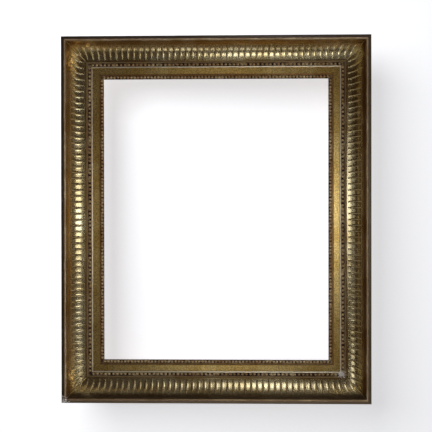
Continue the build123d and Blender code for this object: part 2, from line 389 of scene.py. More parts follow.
def makeDustAndShadeGroup():
    tree, given, out = newGroup(
        "settledDustAndShade",
        {"Point": (vector, None), "Amount": (number, 0.3)},
        {"Dust": number, "Dirt_and_shade": number},
    )
    normal = addNode(tree, "ShaderNodeNewGeometry").outputs["Normal"]
    upward = addNode(tree, "ShaderNodeSeparateXYZ", {0: normal}).outputs[2]
    loose = rise(tree, grainAt(tree, given["Point"], 240.0, 3.0), 0.3, 0.7)
    dust = maths(tree, "MULTIPLY", rise(tree, upward, 0.3, 0.7), loose)
    tree.links.new(maths(tree, "MULTIPLY", dust, given["Amount"]), out["Dust"])
    # Painted shade: dark on what faces nearly straight up
    dirt_and_shade = maths(tree, "MULTIPLY", rise(tree, upward, 0.74, 0.93), dustAndShadeLook["shadeShare"])
    tree.links.new(dirt_and_shade, out["Dirt_and_shade"])
    return tree


giltGroup = makeGiltGroup()
chipGroup = makeChipGroup()
dustAndShadeGroup = makeDustAndShadeGroup()


def newFinish(name):
    material = bpy.data.materials.new(name)
    material.use_nodes = True
    tree = material.node_tree
    tree.nodes.clear()
    shader = addNode(tree, "ShaderNodeBsdfPrincipled")
    addNode(tree, "ShaderNodeOutputMaterial", {"Surface": shader.outputs[0]})
    point = addNode(tree, "ShaderNodeTexCoord").outputs["Object"]
    return material, tree, shader, point


def wireFinish(tree, shader, base, rough, height, strength, relief):
    # Leads a colour, a roughness and a height, which is relief deep in millimetres, to the shader
    values = {"Height": height, "Strength": strength, "Distance": relief * mm}
    bump = addNode(tree, "ShaderNodeBump", values)
    tree.links.new(base, shader.inputs["Base Color"])
    tree.links.new(rough, shader.inputs["Roughness"])
    tree.links.new(bump.outputs[0], shader.inputs["Normal"])


zoneEdge = {"grain": 90.0, "ragged": 1.6}  # how raggedly a zone of tone ends
leafKeys = ("leaf", "toned", "clay", "gesso", "grime", "rub", "soil", "polish", "stipple", "joint")


def gildedFinish(name, look):
    material, tree, shader, point = newFinish(name)
    crest = addNode(tree, "ShaderNodeAttribute", attribute_name="crest", attribute_type="GEOMETRY")
    leaf = useGroup(tree, giltGroup, {"Point": point, "Crest": crest.outputs["Fac"]}, look, leafKeys)
    base, metal, rough, height = (leaf[key] for key in ("Color", "Metallic", "Roughness", "Height"))
    across = useGroup(tree, railGroup, {"Point": point})["Across"]
    ragged = swing(tree, grainAt(tree, point, zoneEdge["grain"], 4.0, 0.65), zoneEdge["ragged"] * mm)
    across = maths(tree, "ADD", across, ragged)
    for zone in look["zones"]:
        blur = zone["blur"]
        entered = rise(tree, across, (zone["start"] - blur) * mm, (zone["start"] + blur) * mm)
        left = rise(tree, across, (zone["stop"] - blur) * mm, (zone["stop"] + blur) * mm)
        mask = maths(tree, "MULTIPLY", maths(tree, "SUBTRACT", entered, left, clamp=True), zone["share"])
        base = mixColour(tree, mask, base, zone["tone"])
        metal = lessened(tree, metal, maths(tree, "MULTIPLY", mask, 1 - zone["metal"]))
        rough = maths(tree, "MAXIMUM", rough, maths(tree, "MULTIPLY", mask, zone["rough"]))
    dustAndShade = useGroup(tree, dustAndShadeGroup, {"Point": point, "Amount": look["dust"]})
    # Painted shade, dark on what faces nearly straight up, then pale dust
    base = mixColour(tree, dustAndShade["Dirt_and_shade"], base, dustAndShadeLook["dirt_and_shade"])
    metal = lessened(tree, metal, dustAndShade["Dirt_and_shade"])
    base = mixColour(tree, dustAndShade["Dust"], base, dustAndShadeLook["tone"])
    metal = lessened(tree, metal, dustAndShade["Dust"])
    for chip in chips.values():
        mask = useGroup(tree, chipGroup, {"Point": point}, chip, ("place", "size"))["Mask"]
        base = mixColour(tree, mask, base, chipLook["tone"])
        metal = lessened(tree, metal, mask)
        rough = maths(tree, "MAXIMUM", rough, maths(tree, "MULTIPLY", mask, chipLook["rough"]))
        height = maths(tree, "SUBTRACT", height, maths(tree, "MULTIPLY", mask, chipLook["depth"]))
    wireFinish(tree, shader, base, rough, height, 0.6, look["relief"])
    tree.links.new(metal, shader.inputs["Metallic"])
    return material


# Tones lie in zones across the rail, in millimetres from its outer edge
oldLeaf = {
    "leaf": rgb(222, 204, 150),
    "toned": rgb(178, 148, 88),
    "clay": rgb(112, 66, 44),
    "gesso": rgb(186, 166, 142),
    "grime": rgb(46, 32, 16),
    "rub": 0.3,
    "soil": 0.4,
    "polish": 0.3,
    "stipple": 0.0,
    "joint": 0.75,
    "relief": 0.1,
    "dust": 0.1,
    "zones": (),
}
rimLook = {
    **oldLeaf, "leaf": rgb(226, 206, 170), "toned": rgb(192, 166, 128), "clay": rgb(182, 146, 114),
    "gesso": rgb(222, 202, 176), "rub": 0.75, "soil": 0.35, "polish": 0.4,
}
darkEdge = {
    "start": -5, "stop": 8.8, "blur": 0.3, "tone": rgb(62, 48, 35),
    "share": 0.94, "metal": 0.1, "rough": 0.4,
}
# The rim's side and shoulder are dark brown paint. They are kept darkest on the left and top, painted shade,
# and painted lighter on the right, painted light
litEdge = {**darkEdge, "tone": rgb(78, 67, 50)}
rimFinish = gildedFinish("rimLeaf", {**rimLook, "zones": (darkEdge,)})
rightRimLitFinish = gildedFinish("rightRimLitLeaf", {**rimLook, "zones": (litEdge,)})
# Bottom copy: side and shoulder painted lighter still, painted light, with its own tones
bottomRimLitFinish = gildedFinish("bottomRimLitLeaf", {
    **rimLook, "leaf": rgb(196, 172, 134), "toned": rgb(164, 138, 102), "clay": rgb(154, 122, 92),
    "gesso": rgb(194, 172, 144), "zones": ({**darkEdge, "tone": rgb(120, 102, 78)},),
})
rimFinishes = {"top": rimFinish, "left": rimFinish, "right": rightRimLitFinish, "bottom": bottomRimLitFinish}
coveGilding = {
    **oldLeaf, "leaf": rgb(214, 196, 150), "toned": rgb(180, 152, 100),
    "rub": 0.25, "soil": 0.25, "polish": 0.24,
}
coveBand = {
    "start": 10, "stop": 15, "blur": 1.5, "tone": rgb(156, 106, 42),
    "share": 0.65, "metal": 0.6, "rough": 0.4,
}
# On the right and bottom the band near the rim is painted much darker, painted shade
shadedCoveBand = {**coveBand, "tone": rgb(92, 50, 16), "share": 0.8, "metal": 0.7}
filletBand = {
    "start": 38.8, "stop": 43, "blur": 0.3, "tone": rgb(140, 114, 80),
    "share": 0.85, "metal": 0.5, "rough": 0.5,
}
coveFinish = gildedFinish("coveLeaf", {**coveGilding, "zones": (coveBand, filletBand)})
shadedCoveFinish = gildedFinish("shadedCoveLeaf", {**coveGilding, "zones": (shadedCoveBand, filletBand)})
fluteGilding = {
    **oldLeaf, "leaf": rgb(228, 214, 170), "toned": rgb(210, 191, 142), "clay": rgb(208, 186, 138),
    "gesso": rgb(232, 214, 172), "rub": 0.7, "soil": 0.1, "polish": 0.235, "relief": 0.015,
}
# The flutes' outer band is light orange brown on the left and top, painted light, and dark brown on the right
# and bottom, painted shade
fluteBand = {
    "start": 8, "stop": 18, "blur": 4, "tone": rgb(212, 158, 84),
    "share": 0.55, "metal": 0.45, "rough": 0.45,
}
shadedFluteBand = {
    "start": 8, "stop": 15, "blur": 3, "tone": rgb(120, 76, 32),
    "share": 0.6, "metal": 0.8, "rough": 0.4,
}
fluteFinish = gildedFinish("fluteLeaf", {**fluteGilding, "zones": (fluteBand,)})
shadedFluteFinish = gildedFinish("shadedFluteLeaf", {**fluteGilding, "zones": (shadedFluteBand,)})
shadedSides = ("right", "bottom")  # where the hollow's outer band is painted darker, painted shade
# The astragal is painted near white, a painted highlight along it
astragalHighlightBand = {
    "start": 47.4, "stop": 50.9, "blur": 0.2, "tone": rgb(255, 246, 218),
    "share": 1.0, "metal": 0.8, "rough": 0.33,
}
lipBand = {
    "start": 61.6, "stop": 66, "blur": 1.2, "tone": rgb(124, 72, 50),
    "share": 0.6, "metal": 0.5, "rough": 0.45,
}
friezeFinish = gildedFinish("friezeLeaf", {
    **oldLeaf, "leaf": rgb(236, 204, 130), "toned": rgb(218, 182, 106), "rub": 0.3, "soil": 0.3,
    "polish": 0.31, "stipple": 0.9, "relief": 0.08, "joint": 0.1, "zones": (astragalHighlightBand, lipBand),
})
pearlFinish = gildedFinish("pearlLeaf", {
    **oldLeaf, "leaf": rgb(246, 220, 172), "toned": rgb(212, 176, 128), "clay": rgb(210, 164, 124),
    "gesso": rgb(236, 214, 180), "grime": rgb(52, 28, 16),
    "rub": 0.45, "soil": 0.6, "polish": 0.36, "joint": 0.3,
})
print("finishes of the gilding made")

# Outer moulding: straight side, rounded shoulder and half-round rim

outerLook = {
    "shoulderWidth": 6.5,
    "rimWidth": 5.0,
    "sideHeight": 43.0,
    "shoulderHeight": 51.5,
    "rimHeight": 57.0,
    "cornerRadius": 3.2,  # worn outer corners
    "cornerCuts": (15, 30, 45),
}


def outerSection():
    look = outerLook
    rimRadius = look["rimWidth"] / 2
    rimMiddle = look["shoulderWidth"] + rimRadius
    spring = look["rimHeight"] - rimRadius
    shoulderRise = look["shoulderHeight"] - look["sideHeight"]
    width, foot, sideTop = look["shoulderWidth"], railLook["backFrame"], look["sideHeight"]
    section = [(0, foot, 0.35), (0, (foot + sideTop) / 2, 0.4)]
    section += arcPoints(width, sideTop, width, shoulderRise, 180, 90, 8, (0.55, 0.2))
    section += arcPoints(rimMiddle, spring, rimRadius, rimRadius, 180, 90, 5, (0.3, 1.0))
    section += arcPoints(rimMiddle, spring, rimRadius, rimRadius, 90, 0, 5, (1.0, 0.2))[1:]
    section.append((width + look["rimWidth"], foot, 0.2))
    return section


def wearCorners(bm, side):
    # Rounds each outer corner with flat cuts that touch one circle
    half, radius = halfLength(side), outerLook["cornerRadius"] * mm
    for way in (-1, 1):
        middle = Vector((way * (half - radius), radius, 0))
        for turn in outerLook["cornerCuts"]:
            outward = Vector((way * sin(radians(turn)), -cos(radians(turn)), 0))
            cutAway(bm, middle + outward * radius, outward)


for side in inwardOf:
    bm = drawRail(side, outerSection())
    cutMitres(bm, side)
    wearCorners(bm, side)
    wander(bm, side)
    finish, node = rimFinishes[side], f"outer_moulding_{side}"
    finishPiece(bm, f"outerMoulding_{side}", finish, [node], railPlace(side))
print("outer mouldings made")

# Cove: a deep hollow with a seat for the flutes, and the crowned fillet at its foot

coveLook = {
    "start": 11.5,
    "foot": 36.0,
    "topHeight": 52.0,
    "footHeight": 20.0,
    "radius": 50.0,
    "band": 3.5,  # plain strip beside the rim
    "apron": 3.0,  # plain strip beside the fillet
    "seat": 2.6,
    "filletWidth": 3.0,
    "filletHeight": 20.8,
    "filletCrown": 1.0,
}
coveRun, coveDrop = coveLook["foot"] - coveLook["start"], coveLook["topHeight"] - coveLook["footHeight"]
coveHalfChord = hypot(coveRun, coveDrop) / 2
coveRatio = sqrt(coveLook["radius"] ** 2 - coveHalfChord**2) / (2 * coveHalfChord)
coveX = (coveLook["start"] + coveLook["foot"]) / 2 + coveDrop * coveRatio  # its centre
coveY = (coveLook["topHeight"] + coveLook["footHeight"]) / 2 + coveRun * coveRatio


def coveSlope(across):
    return degrees(asin((coveX - across) / coveLook["radius"]))


rimSlope = coveSlope(coveLook["start"])
bandSlope = coveSlope(coveLook["start"] + coveLook["band"])
footSlope = coveSlope(coveLook["foot"])
apronSlope = coveSlope(coveLook["foot"] + coveLook["apron"])


def coveArc(deeper, start, stop, steps, crests):
    # Points along the hollow between two slopes, or deeper than its face
    radius = coveLook["radius"] + deeper
    return arcPoints(coveX, coveY, radius, radius, 270 - start, 270 - stop, steps, crests)


def coveSection():
    look = coveLook
    filletOuter = look["foot"] + look["apron"]
    filletInner = filletOuter + look["filletWidth"]
    crownStart = look["filletHeight"] - look["filletCrown"]
    section = [(look["start"], railLook["backFrame"], 0.2)]
    section += coveArc(0, rimSlope, bandSlope, 4, (0.15, 0.5))
    section += coveArc(look["seat"], bandSlope, footSlope, 6, (0.2, 0.2))
    section += coveArc(0, footSlope, apronSlope, 4, (0.5, 0.15))
    middle, halfFillet, crown = (filletOuter + filletInner) / 2, look["filletWidth"] / 2, look["filletCrown"]
    section += arcPoints(middle, crownStart, halfFillet, crown, 180, 90, 4, (0.2, 0.95))
    section += arcPoints(middle, crownStart, halfFillet, crown, 90, 0, 4, (0.95, 0.3))[1:]
    section.append((filletInner, railLook["backFrame"], 0.2))
    return section


for side in inwardOf:
    bm = drawRail(side, coveSection())
    cutMitres(bm, side)
    wander(bm, side)
    finish = shadedCoveFinish if side in shadedSides else coveFinish
    finishPiece(bm, f"cove_{side}", finish, [f"cove_{side}"], railPlace(side))
print("coves made")

# Flutes: shallow channels with steep sides and a crowned ridge between each two, round at the rim
# and fading at the foot; beside the mitres they lean to the corner

fluteLook = {
    "pitch": 10.5,
    "land": 0.9,
    "depth": 0.9,
    "thickness": 0.9,
    "footFade": 16.0,
    "footDepth": 0.2,  # share of the depth that is left at the foot
    "ridge": 0.26,  # how far the ridge between two flutes is crowned
    "ridgeShares": ((0.18, 0.6), (0.5, 1.0), (0.82, 0.6)),  # of its width, and of its crown there
    "ridgeStart": 6.0,
    "roundShare": 0.06,  # of the depth that is a round hollow, the rest has steep sides
    "steepness": 20.0,
    "wobble": 0.16,  # how far a flute stands off its even place
    "depthShares": (0.85, 1.0),  # how its depth varies
    "endStray": 0.35,  # and how far its round end strays
    # Where its columns of points stand, of half its width, and its rows, of the hollow's length
    "columnShares": (-0.985, -0.96, -0.92, -0.84, -0.45, 0.0, 0.45, 0.84, 0.92, 0.96, 0.985),
    "rowShares": (0, 0.015, 0.04, 0.07, 0.105, 0.145, 0.22, 0.36, 0.5, 0.64, 0.77, 0.84, 0.9, 0.95, 1),
    "fan": 0.5,  # how far a flute beside the mitre leans to the corner, of a full mitre
    "fanReach": 75.0,  # from the mitre to the first flute that stands straight
    "floorCrest": 0.15,
    "wallCrest": 0.7,  # more than the floor's
    "plainCrest": 0.4,  # where the flutes begin and end
    "sharpAngle": 62,
}


def buildFlutes(side):
    look = fluteLook
    half = halfLength(side) / mm
    halfFlute = (look["pitch"] - look["land"]) / 2
    limit = half - coveLook["start"] - coveLook["band"] - look["pitch"] + look["land"]
    count = int(2 * limit / look["pitch"]) + 1
    arcLength = radians(bandSlope - footSlope) * coveLook["radius"]
    places = [(-half, None, 0, 0)]  # along the rail, flute, share of its half width, lift
    for index in range(count):
        middle = (index - (count - 1) / 2) * look["pitch"] + random.uniform(-1, 1) * look["wobble"]
        depth = look["depth"] * random.uniform(*look["depthShares"])
        lane = {"depth": depth, "end": random.uniform(-look["endStray"], look["endStray"])}
        if index:
            left, width = places[-1][0], middle - halfFlute - places[-1][0]
            for share, lift in look["ridgeShares"]:
                places.append((left + share * width, None, 0, look["ridge"] * lift))
        places.append((middle - halfFlute, lane, -1, 0))
        for share in look["columnShares"]:
            places.append((middle + share * halfFlute, lane, share, 0))
        places.append((middle + halfFlute, lane, 1, 0))
    places.append((half, None, 0, 0))

    bm = bmesh.new()
    crestLayer = bm.verts.layers.float.new("crest")
    columns, rows = len(places) - 1, len(look["rowShares"]) - 1
    bmesh.ops.create_grid(bm, x_segments=columns, y_segments=rows, size=0.5)
    for vert in bm.verts:
        along, lane, share, lift = places[round((vert.co.x + 0.5) * columns)]
        runShare = look["rowShares"][round((vert.co.y + 0.5) * rows)]
        run = runShare * arcLength
        sink, wall = 0, look["plainCrest"]
        toFoot = min((arcLength - run) / look["footFade"], 1)
        if lane:
            wall = look["roundShare"] * share**2 + (1 - look["roundShare"]) * abs(share) ** look["steepness"]
            pastEnd = min(max(halfFlute + lane["end"] - run, 0) / halfFlute, 1)
            sink = lane["depth"] * (1 - wall) * (1 - pastEnd**2)
            sink *= look["footDepth"] + (1 - look["footDepth"]) * toFoot * toFoot * (3 - 2 * toFoot)
        slope = radians(bandSlope + (footSlope - bandSlope) * runShare)
        radius = coveLook["radius"] + sink - lift * min(run / look["ridgeStart"], 1)
        across = coveX - radius * sin(slope)
        near = min(max(1 - (half - coveLook["foot"] - abs(along)) / look["fanReach"], 0), 1)
        outward = (coveLook["foot"] - across) ** 2 / (coveLook["foot"] - coveLook["start"])
        along += copysign(look["fan"] * near * near * outward, along)
        vert.co = Vector((along, across, coveY - radius * cos(slope))) * mm
        crest = 1.0 if lift else look["floorCrest"] + look["wallCrest"] * wall
        fade = min(run / look["ridgeStart"], 1) * min(2 * toFoot, 1)
        vert[crestLayer] = look["plainCrest"] + (crest - look["plainCrest"]) * fade
    bmesh.ops.recalc_face_normals(bm, faces=bm.faces)
    if sum(face.normal.z for face in bm.faces) < 0:
        bmesh.ops.reverse_faces(bm, faces=bm.faces)
    bmesh.ops.solidify(bm, geom=bm.faces[:], thickness=look["thickness"] * mm)
    return bm


for side in inwardOf:
    bm = buildFlutes(side)
    cutMitres(bm, side)
    wander(bm, side)
    finish = shadedFluteFinish if side in shadedSides else fluteFinish
    name, node, place = f"fluteStrip_{side}", f"flute_strip_{side}", railPlace(side)
    finishPiece(bm, name, finish, [node], place, fluteLook["sharpAngle"])
print("flutes made")

# Filler run down the mitre of each cove, where two hollows meet

seamFinish = gildedFinish("seamLeaf", {
    **oldLeaf, "leaf": rgb(232, 212, 162), "toned": rgb(206, 180, 124), "clay": rgb(204, 178, 128),
    "rub": 0.5, "soil": 0.2, "polish": 0.4, "joint": 0.0,
})
seamLook = {
    "radius": 0.75,
    "sink": 0.25,
    "sides": 8,
    "steps": 22,
    "pastRim": 1,  # degrees that it runs on under the rim
    "pastApron": 2,  # and under the fillet
    "crest": 0.8,
}


def buildSeam():
    # A bent round bead along the hollow, before it is stretched into the plane of the mitre
    look = seamLook
    startSlope, stopSlope = rimSlope - look["pastRim"], apronSlope + look["pastApron"]
    bm = bmesh.new()
    crestLayer = bm.verts.layers.float.new("crest")
    centre, slope = coveLook["radius"] + look["sink"], radians(startSlope)
    start = Matrix.Translation(Vector((0, -centre * sin(slope), -centre * cos(slope))) * mm)
    turn = Matrix.Rotation(radians(90 - startSlope), 4, "X")
    bmesh.ops.create_circle(
        bm, cap_ends=True, segments=look["sides"], radius=look["radius"] * mm, matrix=start @ turn
    )
    bmesh.ops.spin(
        bm, geom=everythingIn(bm), cent=(0, 0, 0), axis=(1, 0, 0), dvec=(0, 0, 0),
        angle=radians(startSlope - stopSlope), steps=look["steps"], use_duplicate=False,
    )
    for vert in bm.verts:
        vert[crestLayer] = look["crest"]
    bmesh.ops.translate(bm, vec=Vector((0, coveX, coveY)) * mm, verts=bm.verts)
    return bm


for across in (-1, 1):
    for up in (-1, 1):
        corner = ("top" if up > 0 else "bottom") + ("Right" if across > 0 else "Left")
        inward = Vector((-across, 0, -up))
        besides = inward.cross(front).normalized()
        place = Matrix((besides, inward, front)).transposed().to_4x4()
        place.translation = Vector((across * outerWidth / 2, 0, up * outerHeight / 2))
        finishPiece(buildSeam(), f"mitreFiller_{corner}", seamFinish, (), place)
print("mitre filler made")

# Sight moulding: pearl bed, astragal, flat frieze and the lip over the rebate

sightLook = {
    "start": 42.0,
    "bedWidth": 6.3,
    "bedHeight": 17.0,
    "astragalWidth": 2.9,
    "astragalHeight": 21.4,
    "astragalCrown": 1.3,
    "friezeWidth": 11.2,
    "friezeHeight": 19.5,
    "lipStep": 2.3,
    "lipWidth": 5.3,
    "lipHeight": 15.0,
    "rebateWidth": 6.0,
    "rebateDepth": 12.5,
    "friezeMargin": 1.0,  # strip of the frieze beside each edge
    "arris": 0.5,  # worn edge of the frieze
}


def sightSection():
    look = sightLook
    bedEnd = look["start"] + look["bedWidth"]
    friezeStart = bedEnd + look["astragalWidth"]
    friezeEnd = friezeStart + look["friezeWidth"]
    end = friezeEnd + look["lipStep"] + look["lipWidth"]
    spring = look["astragalHeight"] - look["astragalCrown"]
    middle, radius = (bedEnd + friezeStart) / 2, look["astragalWidth"] / 2
    margin, arris = look["friezeMargin"], look["arris"]
    section = [
        (look["start"], railLook["backFrame"], 0.2),
        (look["start"], look["bedHeight"], 0.0),
        (bedEnd, look["bedHeight"], 0.0),
    ]
    section += arcPoints(middle, spring, radius, look["astragalCrown"], 180, 90, 4, (0.3, 0.95))
    section += arcPoints(middle, spring, radius, look["astragalCrown"], 90, 0, 4, (0.95, 0.35))[1:]
    section += [
        (friezeStart, look["friezeHeight"], 0.3),
        (friezeStart + margin, look["friezeHeight"], 0.6),
        (friezeEnd - margin, look["friezeHeight"], 0.65),
    ]
    section += arcPoints(friezeEnd - arris, look["friezeHeight"] - arris, arris, arris, 90, 0, 3, (0.85, 0.6))
    section += [
        (friezeEnd, look["lipHeight"], 0.0),
        (end, look["lipHeight"], 0.1),
        (end, look["rebateDepth"], 0.1),
        (end - look["rebateWidth"], look["rebateDepth"], 0.3),
        (end - look["rebateWidth"], railLook["backFrame"], 0.3),
    ]
    return section


for side in inwardOf:
    bm = drawRail(side, sightSection())
    cutMitres(bm, side)
    wander(bm, side)
    name, node = f"sightMoulding_{side}", f"sight_moulding_{side}"
    finishPiece(bm, name, friezeFinish, [node], railPlace(side))
print("sight mouldings made")

# Pearls: two courses of half-sunk pearls, each on a thin strip

pearlLook = {
    "outer": {"start": 42.0, "stop": 48.3, "seat": 17.0, "diameter": 4.8, "pitch": 7.28},
    "sight": {"start": 64.7, "stop": 70.0, "seat": 15.0, "diameter": 4.9, "pitch": 6.1},
    "strip": 1.2,
    "endGap": 0.4,
    "segments": 10,
    "rings": 8,
    "strayAlong": 0.12,
    "strayAcross": 0.08,
    "sizes": (0.93, 1.0),
    "sunk": 0.15,  # cut off so far below the strip's face
    "crestPower": 0.8,
    "topCrest": 0.95,
}


def buildPearls(side, look):
    shared = pearlLook
    middle = (look["start"] + look["stop"]) / 2
    crown = look["seat"] + shared["strip"]
    radius = look["diameter"] / 2
    section = [
        (look["start"], look["seat"], 0.0),
        (look["start"], crown, 0.05),
        (middle, crown, 0.0),
        (look["stop"], crown, 0.05),
        (look["stop"], look["seat"], 0.05),
    ]
    bm = drawRail(side, section)
    cutMitres(bm, side)
    crestLayer = bm.verts.layers.float["crest"]
    limit = halfLength(side) / mm - middle - (radius + shared["endGap"]) * sqrt(2)
    count = int(2 * limit / look["pitch"]) + 1
    pearls = []
    for index in range(count):
        along = (index - (count - 1) / 2) * look["pitch"]
        along += random.uniform(-shared["strayAlong"], shared["strayAlong"])
        size = random.uniform(*shared["sizes"])
        across = middle + random.uniform(-shared["strayAcross"], shared["strayAcross"])
        made = bmesh.ops.create_uvsphere(
            bm, u_segments=shared["segments"], v_segments=shared["rings"],
            radius=radius * size * mm, matrix=Matrix.Translation(Vector((along, across, crown)) * mm),
        )
        pearls += made["verts"]
    for vert in pearls:
        height = min(max((vert.co.z / mm - crown) / radius, 0), 1)
        vert[crestLayer] = height ** shared["crestPower"] * shared["topCrest"]
    edges = list({edge for vert in pearls for edge in vert.link_edges})
    faces = list({face for vert in pearls for face in vert.link_faces})
    cut = (0, 0, (crown - shared["sunk"]) * mm)
    bmesh.ops.bisect_plane(
        bm, geom=pearls + edges + faces, plane_co=cut, plane_no=(0, 0, -1), clear_outer=True
    )
    closeCut(bm)
    return bm


for course in ("outer", "sight"):
    for side in inwardOf:
        bm = buildPearls(side, pearlLook[course])
        wander(bm, side)
        name, node = f"{course}Pearls_{side}", f"{course}_pearls_{side}"
        finishPiece(bm, name, pearlFinish, [node], railPlace(side))
print("pearls made")

# Bare wood of the back: grain along each rail, stains, and a dark wash on the outer sides

woodGrain = {
    "bend": 14.0,  # scales of noise, finer as they grow
    "fibre": 1400.0,
    "stain": 9.0,
    "sway": 0.05,  # how far the rings bend
    "rough": 0.62,
    "lateRough": 0.12,
    "relief": 0.2,
}
washLook = {"tone": rgb(44, 30, 18), "reach": 0.3, "grain": 120.0}


def makeWoodGroup():
    tree, given, out = newGroup(
        "agedWood",
        {
            "Point": (vector, None),
            "Light": (colour, rgb(176, 128, 78)),
            "Dark": (colour, rgb(112, 72, 38)),
            "Dirt_and_shade": (colour, rgb(48, 34, 22)),
            "Rings": (number, 260.0),
        },
        {"Color": colour, "Roughness": number, "Height": number},
    )
    grain = woodGrain
    shift = maths(tree, "MULTIPLY", grainAt(tree, given["Point"], grain["bend"], 3.0), grain["sway"])
    bent = addNode(tree, "ShaderNodeVectorMath", {0: given["Point"], 1: shift}, operation="ADD")
    rings = grainAt(tree, bent.outputs[0], given["Rings"], 2.0)
    fibre = grainAt(tree, given["Point"], grain["fibre"], 2.0)
    stain = grainAt(tree, given["Point"], grain["stain"], 4.0, 0.6)
    late = rise(tree, rings, 0.42, 0.6)
    wood = mixColour(tree, late, given["Light"], given["Dark"])
    wood = mixColour(tree, maths(tree, "MULTIPLY", rise(tree, fibre, 0.45, 0.75), 0.35), wood, given["Dark"])
    wood = mixColour(tree, rise(tree, stain, 0.48, 0.75, 0.0, 0.7), wood, given["Dirt_and_shade"])
    tree.links.new(wood, out["Color"])
    rough = maths(tree, "MULTIPLY_ADD", late, grain["lateRough"], grain["rough"])
    tree.links.new(rough, out["Roughness"])
    height = maths(tree, "ADD", maths(tree, "MULTIPLY", fibre, 0.6), maths(tree, "MULTIPLY", late, 0.4))
    tree.links.new(height, out["Height"])
    return tree


woodGroup = makeWoodGroup()


def woodFinish(name, look):
    material, tree, shader, point = newFinish(name)
    stretched = addNode(tree, "ShaderNodeMapping", {"Vector": point, "Scale": look["stretch"]})
    keys = ("light", "dark", "dirt_and_shade", "rings")
    wood = useGroup(tree, woodGroup, {"Point": stretched.outputs[0]}, look, keys)
    across = useGroup(tree, railGroup, {"Point": point})["Across"]
    washed = rise(tree, across, washLook["reach"] / 2 * mm, washLook["reach"] * mm, 1.0, 0.0)
    worn = rise(tree, grainAt(tree, point, washLook["grain"], 4.0, 0.7), 0.25, 0.6, 0.55, 1.0)
    base = mixColour(tree, maths(tree, "MULTIPLY", washed, worn), wood["Color"], washLook["tone"])
    dust = useGroup(tree, dustAndShadeGroup, {"Point": point, "Amount": look["dust"]})["Dust"]
    base = mixColour(tree, dust, base, dustAndShadeLook["tone"])
    wireFinish(tree, shader, base, wood["Roughness"], wood["Height"], 0.5, woodGrain["relief"])
    return material


pineLook = {
    "light": rgb(198, 156, 106),
    "dark": rgb(160, 114, 72),
    "dirt_and_shade": rgb(92, 68, 46),
    "rings": 190.0,
    "stretch": (0.06, 1.0, 1.0),  # drawn out along the grain
    "dust": 0.5,
}
levelPine = woodFinish("levelPine", pineLook)
standingPine = woodFinish("standingPine", {**pineLook, "stretch": (1.0, 1.0, 0.06)})
keyWood = woodFinish("keyWood", {
    "light": rgb(126, 84, 50), "dark": rgb(78, 48, 28), "dirt_and_shade": rgb(44, 30, 20), "rings": 240.0,
    "stretch": (1.0, 1.0, 0.1), "dust": 0.5,
})

# Brass and steel of the hangers and turn buttons

metalWear = {
    "cloud": 160.0,  # scales of noise, finer as they grow
    "spots": 900.0,
    "scratches": 2600.0,
    "scratchStretch": (0.1, 1.0, 1.0),
    "dullRough": 0.3,
    "relief": 0.05,
}


def makeMetalGroup():
    tree, given, out = newGroup(
        "handledMetal",
        {
            "Point": (vector, None),
            "Bright": (colour, rgb(196, 160, 96)),
            "Tarnish": (colour, rgb(90, 64, 34)),
            "Age": (number, 0.5),
            "Polish": (number, 0.3),
        },
        {"Color": colour, "Roughness": number, "Height": number},
    )
    wear, point = metalWear, given["Point"]
    cloud = grainAt(tree, point, wear["cloud"], 4.0, 0.65)
    spots = rise(tree, grainAt(tree, point, wear["spots"], 3.0), 0.58, 0.7)
    drawn = addNode(tree, "ShaderNodeMapping", {"Vector": point, "Scale": wear["scratchStretch"]})
    scratch = rise(tree, grainAt(tree, drawn.outputs[0], wear["scratches"], 2.0), 0.55, 0.68)
    dull = rise(tree, maths(tree, "ADD", cloud, maths(tree, "MULTIPLY", given["Age"], 0.4)), 0.5, 0.9)
    dull = maths(tree, "MAXIMUM", dull, maths(tree, "MULTIPLY", spots, given["Age"]))
    dull = maths(tree, "SUBTRACT", dull, maths(tree, "MULTIPLY", scratch, 0.3), clamp=True)
    tree.links.new(mixColour(tree, dull, given["Bright"], given["Tarnish"]), out["Color"])
    rough = maths(tree, "MULTIPLY_ADD", dull, wear["dullRough"], given["Polish"])
    tree.links.new(rough, out["Roughness"])
    scored = maths(tree, "MULTIPLY", scratch, 0.4)
    height = maths(tree, "SUBTRACT", maths(tree, "MULTIPLY", cloud, 0.4), scored)
    tree.links.new(height, out["Height"])
    return tree


metalGroup = makeMetalGroup()


def metalFinish(name, look):
    material, tree, shader, point = newFinish(name)
    metal = useGroup(tree, metalGroup, {"Point": point}, look, ("bright", "tarnish", "age", "polish"))
    shader.inputs["Metallic"].default_value = 1.0
    wireFinish(tree, shader, metal["Color"], metal["Roughness"], metal["Height"], 0.4, metalWear["relief"])
    return material


plateBrass = metalFinish("plateBrass", {
    "bright": rgb(190, 150, 84), "tarnish": rgb(96, 70, 38), "age": 0.5, "polish": 0.32,
})
ringBrass = metalFinish("ringBrass", {
    "bright": rgb(204, 166, 98), "tarnish": rgb(110, 80, 42), "age": 0.35, "polish": 0.22,
})
buttonBrass = metalFinish("buttonBrass", {
    "bright": rgb(186, 146, 80), "tarnish": rgb(84, 60, 32), "age": 0.6, "polish": 0.35,
})
screwSteel = metalFinish("screwSteel", {
    "bright": rgb(150, 146, 138), "tarnish": rgb(72, 56, 42), "age": 0.55, "polish": 0.35,
})


def dress(start, material):
    # Gives a finish to every CAD node whose name starts so
    for name, node in cadNodes.items():
        if name.startswith(start):
            node.data.materials.clear()
            node.data.materials.append(material)


for side in inwardOf:
    dress(f"back_frame_{side}", levelPine if side in level else standingPine)
dress("corner_key", keyWood)
dress("hanger_strap", plateBrass)
dress("hanger_ring", ringBrass)
dress("turn_button_", buttonBrass)
dress("turn_button_screws", screwSteel)  # after the buttons, whose name it shares
dress("hanger_screws", screwSteel)
print("wood and hardware dressed")

# Wall behind the frame: pale, clear of its back, and open to the view and the light from behind

